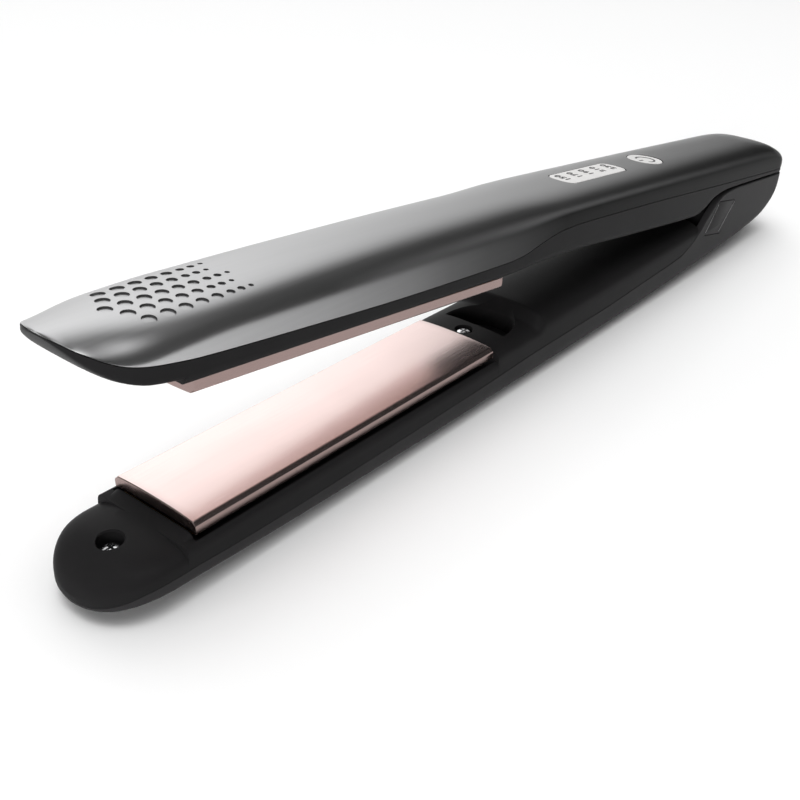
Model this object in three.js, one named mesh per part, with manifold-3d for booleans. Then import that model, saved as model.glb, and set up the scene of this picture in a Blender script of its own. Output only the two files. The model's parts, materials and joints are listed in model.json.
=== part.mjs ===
// Flat iron (hair straightener) with two long arms on one cross pin, drawn half open.
// Millimetres, +Z up. The tip points to -X, the hinge is at the +X end, the lower arm lies
// along the ground. While the shapes are made, X = 0 is just ahead of the hinge pin, Y = 0 is
// the middle plane and Z = 0 is the parting plane of the closed plates. The finished group is
// then moved so that its origin is the middle of the underside of its bounding box.
import * as THREE from 'three';
import { mergeVertices } from 'three/addons/utils/BufferGeometryUtils.js';
import Module from 'manifold-3d';

const wasm = await Module();
wasm.setup();

// ---- driving dimensions ------------------------------------------------------------------
const HALF_WIDTH = 14.3;
const UPPER_ENDS = { tip: -251.6, tail: 55 };
const LOWER_ENDS = { tip: -249, tail: 58 };
const NOSE_ROOT = -233;
const NOSE_POWER = 2.3;
const TAIL_ROUND = 12;
const TAIL_POWER = 2.5;
const COVER_WALL = 1.6;
const LOWER_WALL = 2.1;
const GAP = 0.3;

const OPEN_DEG = 6.75;
const PIVOT_X = 2.5;
const PIVOT_Z = 0.6;

const PLATE_FRONT = -227.3;
const PLATE_REAR = -126.4;
const PLATE_HALF = 12.5;
const PLATE_EDGE_RADIUS = 1.2;
const PLATE_FACE = 0.2;
const PLATE_DEPTH = 3.2;
const PLATE_SKIN = 1.2;
const TROUGH_HALF = 13.0;
const TROUGH_FLOOR = 6.7;
const POST_X = [-208, -146];

const NOSE_SCREW_X = -238.6;
const BLOCK_REAR = -117.6;
const BLOCK_SCREW_X = -122.2;
const ARCH_DEPTH = 11.6;

const BUTTON_X = -33.7;
const BUTTON_RADIUS = 5.7;
const DISPLAY_X = -66.5;
const DISPLAY_LENGTH = 35;
const DISPLAY_WIDTH = 9.2;

const CHEEK_INNER = 12.2;
const TONGUE_HALF = 11.0;
const INLET_Z = -3.0;
const INLET_BORE = 6.8;
const INLET_OUTSIDE = 9.6;

// Side-view outlines, as points joined by a smooth curve: [X, Z].
const upperCrown = smooth([
  [-251.6, 14.9], [-246, 15.1], [-237, 15.6], [-220, 16.5], [-188, 18.1], [-147, 19.5],
  [-96, 20.5], [-33, 21.0], [10, 21.2], [30, 21.2], [42, 20.2], [50, 17.8], [55, 13.4],
]);
const upperSplit = smooth([
  [-251.6, 14.1], [-250.5, 13.2], [-247.5, 11.9], [-244.8, 10.6], [-240, 9.6], [-232, 9.1],
  [-200, 8.4], [-170, 8.0], [-128, 8.4], [-121, 9.0], [-112, 11.2], [-103, 12.8], [-92, 13.3],
  [-60, 13.2], [0, 12.3], [55, 11.7],
]);
const upperNoseFace = smooth([
  [-251.6, 13.9], [-250.5, 12.0], [-247.5, 8.9], [-243, 6.2], [-238, 4.8], [-231, 4.3],
]);
const upperRim = smooth([
  [-231, 4.1], [-170, 4.3], [-126, 4.5], [-110, 5.2], [-95, 5.4], [-60, 4.4], [-17, 3.4],
  [-12, 4.6], [-6, 7.4], [0, 9.0], [5, 9.6], [55, 9.7],
]);
const lowerSeam = smooth([
  [-249, -13.2], [-247, -12.3], [-244, -11.0], [-240, -9.7], [-235, -8.9], [-230, -8.6],
  [-166, -8.7], [-130, -8.2], [-74, -7.9], [-50, -7.1], [-24, -6.0], [-18, -4.4], [-12, -1.5],
  [-6, 3.4], [0, 7.2], [5, 8.2], [11, 7.9], [21.5, 6.4], [49, 3.1], [58, 2.4],
]);
const lowerBottom = smooth([
  [-249, -13.8], [-243, -13.9], [-232, -14.2], [-216, -14.8], [-191, -15.7], [-163, -16.5],
  [-150, -16.8], [-60, -16.8], [-44, -16.5], [-16, -15.7], [13, -14.5], [29, -13.5], [40, -12.2],
  [46, -10.2], [51, -6.8], [55, -2.0], [58, 1.6],
]);
const lowerNoseFace = smooth([
  [-249, -12.5], [-247.2, -9.8], [-244.4, -7.6], [-240, -5.9], [-235, -5.1], [-231, -4.8],
]);
const lowerRim = smooth([[-231, -4.3], [-126, -4.4], [-100, -4.8], [-10, -4.4]]);

const CREST_HEIGHT = 6.6;
const LOWER_SIDE_HEIGHT = 7.5;
const NOSE_FRACTIONS = [0.008, 0.05, 0.14, 0.29, 0.5, 0.75, 1];

// ---- materials ---------------------------------------------------------------------------
const finish = (color, roughness, metalness) =>
  new THREE.MeshStandardMaterial({ color, roughness, metalness });
const graphite = finish(0x6f7174, 0.34, 0.85);
const darkGrey = finish(0x3a3b3d, 0.5, 0.1);
const black = finish(0x17181a, 0.45, 0.0);
const rose = finish(0xd9b3a9, 0.2, 0.85);
const silver = finish(0xd5d4d2, 0.35, 0.6);
const steel = finish(0xb9bcc0, 0.25, 1.0);
const ceramic = finish(0xe8e4da, 0.7, 0.0);
const amber = finish(0x8a5a2b, 0.6, 0.0);
const boardGreen = finish(0x1f5a3c, 0.55, 0.0);
const silicone = finish(0xb8402f, 0.8, 0.0);
const nylon = finish(0xe4e2dc, 0.6, 0.0);

// ---- curves ------------------------------------------------------------------------------
// A cubic curve through the points that doesn't overshoot between them.
function smooth(points) {
  const xs = points.map((p) => p[0]);
  const zs = points.map((p) => p[1]);
  const slope = xs.slice(1).map((x, i) => (zs[i + 1] - zs[i]) / (x - xs[i]));
  const tangent = xs.map((x, i) => {
    const before = slope[Math.max(0, i - 1)];
    const after = slope[Math.min(slope.length - 1, i)];
    return before * after <= 0 ? 0 : (2 * before * after) / (before + after);
  });
  return (x) => {
    const at = Math.min(Math.max(x, xs[0]), xs[xs.length - 1]);
    let i = 0;
    while (i < xs.length - 2 && at > xs[i + 1]) i += 1;
    const h = xs[i + 1] - xs[i];
    const t = (at - xs[i]) / h;
    const a = (1 + 2 * t) * (1 - t) ** 2 * zs[i];
    const b = t * (1 - t) ** 2 * h * tangent[i];
    const c = t * t * (3 - 2 * t) * zs[i + 1];
    const d = t * t * (t - 1) * h * tangent[i + 1];
    return a + b + c + d;
  };
}

// Half width of an arm seen from above: a blunt round nose and a rounder-cornered tail.
function halfWidth(x, ends) {
  const nose = Math.max(0, (NOSE_ROOT - x) / (NOSE_ROOT - ends.tip));
  const tail = Math.max(0, (x - ends.tail + TAIL_ROUND) / TAIL_ROUND);
  const round = (s, power) => Math.max(0, 1 - Math.min(1, s) ** power) ** (1 / power);
  return HALF_WIDTH * round(nose, NOSE_POWER) * round(tail, TAIL_POWER);
}

// Half of a cover's section: flat crown, round shoulders, upright sides. Angles from -90 to
// 90 degrees, with a flat facet in the middle of the crown.
function crownArc(half, base, height, count) {
  const ring = [];
  for (let k = 0; k < count; k += 1) {
    const a = Math.PI * (k / (count - 1) - 0.5);
    const y = half * Math.sign(a) * Math.abs(Math.sin(a)) ** (2 / 3);
    ring.push([y, base + height * Math.sqrt(Math.max(0, Math.cos(a)))]);
  }
  return ring;
}

// ---- solids ------------------------------------------------------------------------------
function solid(geometry) {
  geometry.deleteAttribute('normal');
  geometry.deleteAttribute('uv');
  const merged = mergeVertices(geometry, 1e-4);
  const vertProperties = new Float32Array(merged.attributes.position.array);
  const triVerts = new Uint32Array(merged.index.array);
  return new wasm.Manifold(new wasm.Mesh({ numProp: 3, vertProperties, triVerts }));
}

// A closed solid through rings of equal count, one ring at each X.
function loft(xs, ringAt) {
  const rings = xs.map((x) => ringAt(x).map(([y, z]) => [x, y, z]));
  return skin(rings);
}

function skin(rings) {
  const count = rings[0].length;
  const position = rings.flat(2);
  const index = [];
  for (let r = 0; r < rings.length - 1; r += 1) {
    for (let k = 0; k < count; k += 1) {
      const a = r * count + k;
      const b = r * count + ((k + 1) % count);
      index.push(a, a + count, b, b, a + count, b + count);
    }
  }
  const last = (rings.length - 1) * count;
  for (let k = 1; k < count - 1; k += 1) {
    index.push(0, k, k + 1, last, last + k + 1, last + k);
  }
  const geometry = new THREE.BufferGeometry();
  geometry.setAttribute('position', new THREE.Float32BufferAttribute(position, 3));
  geometry.setIndex(signedVolume(position, index) < 0 ? index.reverse() : index);
  return solid(geometry);
}

function signedVolume(position, index) {
  const corner = (i) => new THREE.Vector3().fromArray(position, 3 * i);
  let volume = 0;
  for (let t = 0; t < index.length; t += 3) {
    volume += corner(index[t]).dot(corner(index[t + 1]).cross(corner(index[t + 2])));
  }
  return volume;
}

function block(x0, x1, half, z0, z1, middleY = 0) {
  const geometry = new THREE.BoxGeometry(x1 - x0, 2 * half, Math.abs(z1 - z0));
  geometry.translate((x0 + x1) / 2, middleY, (z0 + z1) / 2);
  return solid(geometry);
}

function prism(points, depth) {
  const shape = new THREE.Shape(points.map(([a, b]) => new THREE.Vector2(a, b)));
  return new THREE.ExtrudeGeometry(shape, { depth, bevelEnabled: false, steps: 1 });
}

function prismAlongZ(points, z0, z1) {
  return solid(prism(points, z1 - z0).translate(0, 0, z0));
}

function prismAlongY(points, y0, y1) {
  return solid(prism(points, y1 - y0).rotateX(Math.PI / 2).translate(0, y1, 0));
}

function prismAlongX(points, x0, x1) {
  const turn = new THREE.Matrix4().makeBasis(
    new THREE.Vector3(0, 1, 0), new THREE.Vector3(0, 0, 1), new THREE.Vector3(1, 0, 0));
  return solid(prism(points, x1 - x0).applyMatrix4(turn).translate(x0, 0, 0));
}

function rodAlongY(radius, x, z, y0, y1, sides = 20) {
  const geometry = new THREE.CylinderGeometry(radius, radius, y1 - y0, sides);
  return solid(geometry.translate(x, (y0 + y1) / 2, z));
}

function rodAlongZ(radius, x, y, z0, z1, sides = 20) {
  const geometry = new THREE.CylinderGeometry(radius, radius, Math.abs(z1 - z0), sides);
  return solid(geometry.rotateX(Math.PI / 2).translate(x, y, (z0 + z1) / 2));
}

function rodAlongX(radius, x0, x1, z, sides = 20) {
  const geometry = new THREE.CylinderGeometry(radius, radius, x1 - x0, sides);
  return solid(geometry.rotateZ(Math.PI / 2).translate((x0 + x1) / 2, 0, z));
}

function join(...parts) {
  return parts.reduce((all, part) => all.add(part));
}

function cut(from, ...parts) {
  return parts.reduce((rest, part) => rest.subtract(part), from);
}

function mesh(name, body, material) {
  const { numProp, vertProperties, triVerts } = body.getMesh();
  const geometry = new THREE.BufferGeometry();
  const position = [];
  for (let i = 0; i < vertProperties.length; i += numProp) {
    position.push(vertProperties[i], vertProperties[i + 1], vertProperties[i + 2]);
  }
  geometry.setAttribute('position', new THREE.Float32BufferAttribute(position, 3));
  geometry.setIndex(Array.from(triVerts));
  geometry.computeVertexNormals();
  const made = new THREE.Mesh(geometry, material);
  made.name = name;
  return made;
}

// ---- stations along the arms -------------------------------------------------------------
const noseStations = ({ tip }) => NOSE_FRACTIONS.map((part) => tip + part * (NOSE_ROOT - tip));
const armStations = [-230.8, -230.6, -215, -200, -170, -140, -128, -124, -120, -116, -112, -108,
  -104, -100, -92, -80, -60, -40, -24];

// ---- covers ------------------------------------------------------------------------------
function upperOuter() {
  const xs = [...noseStations(UPPER_ENDS), ...armStations.slice(2), 0, 20, 32, 40, 44, 47, 50,
    52.5, 54.3, 54.9];
  return loft(xs, (x) => {
    const base = upperSplit(x);
    return crownArc(halfWidth(x, UPPER_ENDS), base, upperCrown(x) - base, 14);
  });
}

function upperHollow() {
  const xs = [-247.5, -245, -241, -235, -229, -200, -170, -140, -128, -120, -112, -104, -92, -60,
    -24, 20, 36, 43, 48, 51.5];
  return loft(xs, (x) => {
    const base = upperSplit(x) - 1;
    const half = halfWidth(x, UPPER_ENDS) - COVER_WALL;
    const arc = crownArc(half, base + 1, upperCrown(x) - base - 1 - COVER_WALL, 10);
    return [[-half, base], ...arc, [half, base]];
  });
}

// A pill with straight sides and bulged ends, for the display window.
function pill(centreX, length, width, grow) {
  const half = width / 2 + grow;
  const bulge = 2.2;
  const straight = length / 2 - bulge + grow;
  const points = [];
  for (const side of [1, -1]) {
    for (let k = 0; k <= 6; k += 1) {
      const y = side * half * (1 - k / 3);
      const x = centreX + side * (straight + bulge * Math.sqrt(1 - (y / half) ** 2));
      points.push([x, y]);
    }
  }
  return points.reverse();
}

function buildUpperCover() {
  const windowHole = prismAlongZ(pill(DISPLAY_X, DISPLAY_LENGTH, DISPLAY_WIDTH, GAP), 16, 24);
  const buttonHole = rodAlongZ(BUTTON_RADIUS + GAP, BUTTON_X, 0, 16, 24, 32);
  return cut(upperOuter(), upperHollow(), windowHole, buttonHole);
}

function lowerOuter() {
  const xs = [...noseStations(LOWER_ENDS), -215, -200, -170, -150, -100, -60, -40, -24, -18, -12, -6, -2, 2,
    6, 11, 21, 32, 40, 44, 46, 49, 52, 55, 56.8, 57.6];
  return loft(xs, (x) => {
    const top = lowerSeam(x);
    const bottom = lowerBottom(x);
    const half = halfWidth(x, LOWER_ENDS);
    const base = Math.min(top - 0.02, bottom + LOWER_SIDE_HEIGHT);
    return [[-half, top], ...crownArc(half, base, bottom - base, 14), [half, top]];
  });
}

function lowerHollow() {
  const xs = [-246, -243.5, -240, -235, -229, -200, -150, -60, -24, 0, 21, 36, 42, 46, 50];
  return loft(xs, (x) => {
    const bottom = lowerBottom(x) + COVER_WALL;
    const half = halfWidth(x, LOWER_ENDS) - LOWER_WALL;
    const base = Math.min(lowerSeam(x) - 0.5, bottom + LOWER_SIDE_HEIGHT - 1);
    return [[-half, 14], ...crownArc(half, base, bottom - base, 10), [half, 14]];
  });
}

// The slanted cover plate over each end of the hinge pin, as its four corners in side view.
function capOutline(grow) {
  const along = new THREE.Vector2(12, -2.5);
  const across = new THREE.Vector2(7.6, 9.8);
  const centre = new THREE.Vector2(PIVOT_X + 0.4, PIVOT_Z - 0.3);
  const scaleAlong = 0.5 + grow / along.length();
  const scaleAcross = 0.5 + grow / across.length();
  return [[-1, -1], [1, -1], [1, 1], [-1, 1]].map(([a, b]) => [
    centre.x + a * scaleAlong * along.x + b * scaleAcross * across.x,
    centre.y + a * scaleAlong * along.y + b * scaleAcross * across.y,
  ]);
}

function buildLowerCover() {
  const pinHole = rodAlongY(2.3, PIVOT_X, PIVOT_Z, -20, 20);
  const inletHole = rodAlongX(INLET_OUTSIDE / 2 + GAP, 40, 62, INLET_Z);
  const leftRecess = prismAlongY(capOutline(GAP), 13.4, 20);
  const rightRecess = prismAlongY(capOutline(GAP), -20, -13.4);
  return cut(lowerOuter(), lowerHollow(), pinHole, inletHole, leftRecess, rightRecess);
}

// ---- inner shells ------------------------------------------------------------------------
// sign is +1 for the upper arm and -1 for the lower arm, whose plate side faces up.
function screwHole(x, sign, mouth, seat, half) {
  const head = rodAlongZ(half, x, 0, sign * mouth, sign * seat);
  const shank = rodAlongZ(1.4, x, 0, sign * (seat - 0.5), sign * 16, 12);
  return join(head, shank);
}

function postHoles(sign) {
  return POST_X.map((x) => rodAlongZ(2.5, x, 0, sign * 5, sign * 12));
}

function endBlocks(sign, skinZ) {
  const back = PLATE_FRONT - 0.4;
  const step = [[back, 3.2], [back - 0.8, 3.2], [-231.6, 5.4], [-231.6, skinZ], [back, skinZ]];
  const front = prismAlongY(step.map(([x, z]) => [x, sign * z]), -12.4, 12.4);
  const rear = block(PLATE_REAR + 0.4, BLOCK_REAR, 12.4, sign * 0.4, sign * skinZ);
  return [front, rear];
}

// A shell's section: upright sides with narrow chamfers at the rim, or a rounded nose.
function shellSection(half, joint, rim) {
  const side = Math.sign(joint - rim);
  const chamfer = Math.min(1.0, half / 3, Math.abs(joint - rim) / 3);
  const low = rim + side * chamfer;
  const flat = half - chamfer;
  const spread = [-1, -0.8, -0.5, -0.2, 0.2, 0.5, 0.8, 1];
  const face = spread.map((s) => [s * flat, rim]);
  return [[-half, joint], [-half, low], ...face, [half, low], [half, joint]];
}

// upright is the part of the nose's depth that stays straight before it rounds over.
function noseSection(half, joint, face, upright) {
  const base = joint + upright * (face - joint);
  return [[-half, joint], ...crownArc(half, base, face - base, 10), [half, joint]];
}

function trough(sign) {
  const x0 = PLATE_FRONT - 0.6;
  const x1 = PLATE_REAR + 0.6;
  return block(x0, x1, TROUGH_HALF, sign * -5, sign * TROUGH_FLOOR);
}

function buildUpperInnerShell() {
  const xs = [...noseStations(UPPER_ENDS), ...armStations, -17, -12, -9, -6, -3, 0, 5, 20, 40, 44,
    47, 50, 52.5, 54.3, 54.9];
  const body = loft(xs, (x) => {
    const half = halfWidth(x, UPPER_ENDS);
    const joint = upperSplit(x) - GAP;
    return x < armStations[1]
      ? noseSection(half, joint, upperNoseFace(x), 0.5)
      : shellSection(half, joint, upperRim(x));
  });
  const cavity = loft([-110, -104, -92, -60, -17, -10], (x) => {
    const floor = upperRim(x) + 2;
    return [[-12.5, 22], [-12.5, floor], [12.5, floor], [12.5, 22]];
  });
  const barrel = rodAlongY(6.0, PIVOT_X, PIVOT_Z, -TONGUE_HALF, TONGUE_HALF, 28);
  const neck = block(PIVOT_X - 6, PIVOT_X + 6, TONGUE_HALF, PIVOT_Z, 10.6);
  const tray = cut(body, trough(1), cavity);
  return cut(
    join(tray, ...endBlocks(1, 6), barrel, neck),
    rodAlongY(2.3, PIVOT_X, PIVOT_Z, -20, 20),
    block(PIVOT_X - 8, PIVOT_X + 8, 4.2, -8, 7.2),
    ...postHoles(1),
    screwHole(NOSE_SCREW_X, 1, 2, 7.3, 2.85),
    screwHole(BLOCK_SCREW_X, 1, -1, 3.6, 2.3),
  );
}

// The recess behind the rear block, whose rear end is an arch seen from above.
function archPocket() {
  const ringAt = (z, depth, half) => {
    const ring = [[BLOCK_REAR + 0.2, half, z], [BLOCK_REAR + 0.2, -half, z]];
    for (let k = 0; k <= 12; k += 1) {
      const y = -half * Math.cos((Math.PI * k) / 12);
      const bow = Math.max(0, 1 - Math.abs(y / half) ** 2.6) ** (1 / 2.6);
      ring.push([BLOCK_REAR + 0.4 + depth * bow, y, z]);
    }
    return ring;
  };
  return skin([
    ringAt(-6.4, ARCH_DEPTH - 0.6, 11.8),
    ringAt(-0.7, ARCH_DEPTH, 12.0),
    ringAt(2.8, ARCH_DEPTH + 6, 14.2),
  ]);
}

function cheekCut(y0, y1) {
  const edge = [-27, -24, -21, -18, -15, -12, -9, -6].map((x) => [x - GAP, lowerSeam(x) + GAP]);
  return prismAlongY([[0, -20], [0, 6], ...edge.reverse(), [-27 - GAP, -20]], y0, y1);
}

function buildLowerInnerShell() {
  const crestStart = BLOCK_REAR - 0.2;
  const xs = [...noseStations(LOWER_ENDS), ...armStations.slice(0, 2), -215, -170, -140, -128,
    crestStart, crestStart + 0.3, -110, -100, -80, -60, -40, -24, -18, -11];
  const body = loft(xs, (x) => {
    const half = halfWidth(x, LOWER_ENDS);
    const joint = lowerSeam(Math.min(x, -26)) + GAP;
    const rim = lowerRim(x);
    if (x < armStations[1]) return noseSection(half, joint, lowerNoseFace(x), 0.05);
    if (x < crestStart + 0.1) return shellSection(half, joint, rim);
    return [[-half, joint], ...crownArc(half, rim - 1, CREST_HEIGHT + 1, 10), [half, joint]];
  });
  const cavity = loft([-98, -80, -60, -40, -24, -5], (x) => {
    const crown = lowerRim(x) + CREST_HEIGHT - 2;
    return [[-12.2, -12], [-12.2, -6], [-9, crown - 0.6], [0, crown], [9, crown - 0.6],
      [12.2, -6], [12.2, -12]];
  });
  const tray = cut(body, trough(-1), cavity, archPocket());
  return cut(
    join(tray, ...endBlocks(-1, 6)),
    ...postHoles(-1),
    screwHole(NOSE_SCREW_X, -1, 2, 7.3, 2.85),
    screwHole(BLOCK_SCREW_X, -1, -1, 3.6, 2.3),
    cheekCut(CHEEK_INNER - GAP, 20),
    cheekCut(-20, -CHEEK_INNER + GAP),
  );
}

// ---- heating plates ----------------------------------------------------------------------
function buildPlate(sign) {
  const r = PLATE_EDGE_RADIUS;
  const outer = [];
  for (let k = 0; k <= 4; k += 1) {
    const a = (Math.PI / 2) * (k / 4);
    outer.push([-PLATE_HALF + r - r * Math.cos(a), PLATE_FACE + r - r * Math.sin(a)]);
  }
  const edge = [[-PLATE_HALF, PLATE_DEPTH], ...outer];
  const ring = [...edge, ...edge.map(([y, z]) => [-y, z]).reverse()];
  const blank = prismAlongX(ring.map(([y, z]) => [y, sign * z]), PLATE_FRONT, PLATE_REAR);
  const inside = block(PLATE_FRONT + PLATE_SKIN, PLATE_REAR - PLATE_SKIN, PLATE_HALF - PLATE_SKIN,
    sign * (PLATE_FACE + PLATE_SKIN), sign * (PLATE_DEPTH + 1));
  return cut(blank, inside);
}

function buildCarrier(sign) {
  const tray = block(PLATE_FRONT + 1, PLATE_REAR - 1, 10.9, sign * 3.6, sign * 4.8);
  const posts = POST_X.map((x) => rodAlongZ(2.0, x, 0, sign * 4.5, sign * 9.4));
  return join(tray, ...posts);
}

function ring(outer, inner, x, sign, z0, z1) {
  const body = rodAlongZ(outer, x, 0, sign * z0, sign * z1);
  return cut(body, rodAlongZ(inner, x, 0, sign * (z0 - 1), sign * (z1 + 1)));
}

function ringAlongY(outer, inner, y0, y1) {
  const body = rodAlongY(outer, PIVOT_X, PIVOT_Z, y0, y1);
  return cut(body, rodAlongY(inner, PIVOT_X, PIVOT_Z, y0 - 1, y1 + 1));
}

// A cross-head screw along Z, its head towards the plate side of the arm.
function screw(x, sign, headFace, headHeight, headRadius, tip) {
  const face = sign * headFace;
  const seat = sign * (headFace + headHeight);
  const head = rodAlongZ(headRadius, x, 0, face, seat, 24);
  const shank = rodAlongZ(1.1, x, 0, seat - sign * 0.3, sign * tip, 12);
  const slot = sign * (headFace + 0.7);
  const wide = block(x - 1.3, x + 1.3, 0.3, sign * (headFace - 0.5), slot);
  const tall = block(x - 0.3, x + 0.3, 1.3, sign * (headFace - 0.5), slot);
  return cut(join(head, shank), wide, tall);
}

// ---- small parts -------------------------------------------------------------------------
function buildDisplayWindow() {
  const blank = prismAlongZ(pill(DISPLAY_X, DISPLAY_LENGTH, DISPLAY_WIDTH, 0), 17.9, 24);
  return blank.intersect(upperOuter());
}

function buildButton() {
  const cap = rodAlongZ(BUTTON_RADIUS, BUTTON_X, 0, 18.2, 24, 32).intersect(upperOuter());
  return join(cap, rodAlongZ(1.6, BUTTON_X, 0, 16.9, 18.5));
}

function buildOpeningSpring() {
  const coil = ringAlongY(4.4, 2.6, -3.4, 3.4);
  const upperLeg = block(PIVOT_X - 4.2, PIVOT_X - 3.2, 0.5, PIVOT_Z, 6.8, -2.4);
  const lowerLeg = block(PIVOT_X + 3.2, PIVOT_X + 4.2, 0.5, -11.8, PIVOT_Z, 2.4);
  return join(coil, upperLeg, lowerLeg);
}

function buildInletBush() {
  const sleeve = rodAlongX(INLET_OUTSIDE / 2, 44.6, 55.0, INLET_Z, 24);
  const flange = rodAlongX(5.5, 43.4, 45.0, INLET_Z, 24);
  return cut(join(sleeve, flange), rodAlongX(INLET_BORE / 2, 40, 60, INLET_Z, 24));
}

function buildInletClip() {
  const body = block(41.2, 43.0, 7.4, -8.6, 1.6);
  return cut(body, rodAlongX(INLET_BORE / 2 + GAP, 38, 48, INLET_Z, 24));
}

// ---- assembly ----------------------------------------------------------------------------
const lowerArm = new THREE.Group();
lowerArm.add(
  mesh('lower_cover', buildLowerCover(), darkGrey),
  mesh('lower_inner_shell', buildLowerInnerShell(), black),
  mesh('lower_plate', buildPlate(-1), rose),
  mesh('lower_plate_carrier', buildCarrier(-1), amber),
  mesh('lower_heater', block(-217, -137, 8, -1.8, -3.3), ceramic),
  mesh('lower_thermal_fuse', block(-184, -172, 2, -5.1, -5.7), steel),
  mesh('lower_plate_spring_front', ring(3.2, 2.3, POST_X[0], -1, 5.1, 6.4), silicone),
  mesh('lower_plate_spring_rear', ring(3.2, 2.3, POST_X[1], -1, 5.1, 6.4), silicone),
  mesh('lower_nose_screw', screw(NOSE_SCREW_X, -1, 5.8, 1.2, 2.2, 11.5), steel),
  mesh('lower_rear_screw', screw(BLOCK_SCREW_X, -1, 2.1, 1.2, 1.9, 12.5), steel),
  mesh('hinge_pin', rodAlongY(2.0, PIVOT_X, PIVOT_Z, -13.1, 13.1, 24), steel),
  mesh('hinge_cap_left', prismAlongY(capOutline(0), 13.7, 14.4), darkGrey),
  mesh('hinge_cap_right', prismAlongY(capOutline(0), -14.4, -13.7), darkGrey),
  mesh('hinge_washer_left', ringAlongY(4.2, 2.4, 11.3, 11.9), nylon),
  mesh('hinge_washer_right', ringAlongY(4.2, 2.4, -11.9, -11.3), nylon),
  mesh('opening_spring', buildOpeningSpring(), steel),
  mesh('cord_inlet_bush', buildInletBush(), black),
  mesh('cord_inlet_clip', buildInletClip(), nylon),
);

const upperParts = new THREE.Group();
upperParts.add(
  mesh('upper_cover', buildUpperCover(), graphite),
  mesh('upper_inner_shell', buildUpperInnerShell(), black),
  mesh('upper_plate', buildPlate(1), rose),
  mesh('upper_plate_carrier', buildCarrier(1), amber),
  mesh('upper_heater', block(-217, -137, 8, 1.8, 3.3), ceramic),
  mesh('upper_thermistor', block(-180, -174, 1.5, 5.1, 5.7), amber),
  mesh('upper_plate_spring_front', ring(3.2, 2.3, POST_X[0], 1, 5.1, 6.4), silicone),
  mesh('upper_plate_spring_rear', ring(3.2, 2.3, POST_X[1], 1, 5.1, 6.4), silicone),
  mesh('upper_nose_screw', screw(NOSE_SCREW_X, 1, 5.8, 1.2, 2.2, 9.8), steel),
  mesh('upper_rear_screw', screw(BLOCK_SCREW_X, 1, 2.1, 1.2, 1.9, 12.5), steel),
  mesh('display_window', buildDisplayWindow(), silver),
  mesh('power_button', buildButton(), silver),
  mesh('button_switch', block(BUTTON_X - 3, BUTTON_X + 3, 3, 14.2, 16.0), black),
  mesh('circuit_board', block(-96, -22, 10.5, 12.3, 13.9), boardGreen),
  mesh('ion_module', block(-205, -175, 7, 9.2, 13.6), black),
  mesh('vent_insert', block(-241, -214, 8.5, 10.2, 11.4), silver),
);
upperParts.position.set(-PIVOT_X, 0, -PIVOT_Z);
const upperArm = new THREE.Group();
upperArm.add(upperParts);
upperArm.position.set(PIVOT_X, 0, PIVOT_Z);
upperArm.rotation.y = THREE.MathUtils.degToRad(OPEN_DEG);

const flatIron = new THREE.Group();
flatIron.add(lowerArm, upperArm);
flatIron.updateMatrixWorld(true);
const extent = new THREE.Box3().setFromObject(flatIron, true);
flatIron.position.set(-(extent.min.x + extent.max.x) / 2, 0, -extent.min.z);

export default flatIron;
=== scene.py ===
"""A hair flat iron, half open, lying on its lower arm. The shapes are built in millimetres in the
arms' own frame: X runs from the tip (-X) to the tail (+X), Y = 0 is the middle plane and Z = 0 is
the parting plane of the closed plates. LOWER and UPPER then carry a shape to its place."""
import json
import math

import bmesh
import bpy
import numpy as np
from mathutils import Matrix, Vector


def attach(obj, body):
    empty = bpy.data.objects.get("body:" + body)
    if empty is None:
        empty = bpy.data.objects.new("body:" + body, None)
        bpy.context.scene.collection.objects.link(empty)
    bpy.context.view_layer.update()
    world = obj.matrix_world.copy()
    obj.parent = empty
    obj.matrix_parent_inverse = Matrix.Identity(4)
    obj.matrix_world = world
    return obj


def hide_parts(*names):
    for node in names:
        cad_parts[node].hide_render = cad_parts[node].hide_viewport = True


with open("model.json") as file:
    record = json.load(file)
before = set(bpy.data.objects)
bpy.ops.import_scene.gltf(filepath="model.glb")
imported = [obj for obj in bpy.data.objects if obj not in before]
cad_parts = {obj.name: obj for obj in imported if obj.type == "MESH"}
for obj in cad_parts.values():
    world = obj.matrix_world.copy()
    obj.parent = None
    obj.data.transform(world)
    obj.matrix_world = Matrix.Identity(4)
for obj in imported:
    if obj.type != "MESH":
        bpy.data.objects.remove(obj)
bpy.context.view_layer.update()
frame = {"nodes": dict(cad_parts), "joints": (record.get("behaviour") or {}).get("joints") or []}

# ---- the frame: where the arms are -------------------------------------------------------
joints = {joint["name"]: joint for joint in frame["joints"]}
PIVOT = Vector((2.5, 0.0, 0.6))
PIVOT_IN_ROW = Vector(joints["arm_hinge"]["pos_m"])
OPEN_ANGLE = math.radians(-joints["arm_hinge"]["range_deg"][0])
TO_METRES = Matrix.Scale(0.001, 4)
LOWER = Matrix.Translation(PIVOT_IN_ROW) @ TO_METRES @ Matrix.Translation(-PIVOT)
UPPER = (
    Matrix.Translation(PIVOT_IN_ROW)
    @ Matrix.Rotation(OPEN_ANGLE, 4, "Y")
    @ TO_METRES
    @ Matrix.Translation(-PIVOT)
)

# ---- sizes, in millimetres ---------------------------------------------------------------
HALF_WIDTH = 14.3
UPPER_ENDS = (-251.5, 56.3)
LOWER_ENDS = (-248.87, 57.55)
NOSE_ROOT = -233.0
NOSE_POWER = 2.3
TAIL_ROUND = 9.5
TAIL_POWER = 3.2
COVER_WALL = 1.6
VENT_WALL = 0.3
LOWER_WALL = 2.1
SEAM_GAP = 0.14
LIP = 0.25

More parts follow.
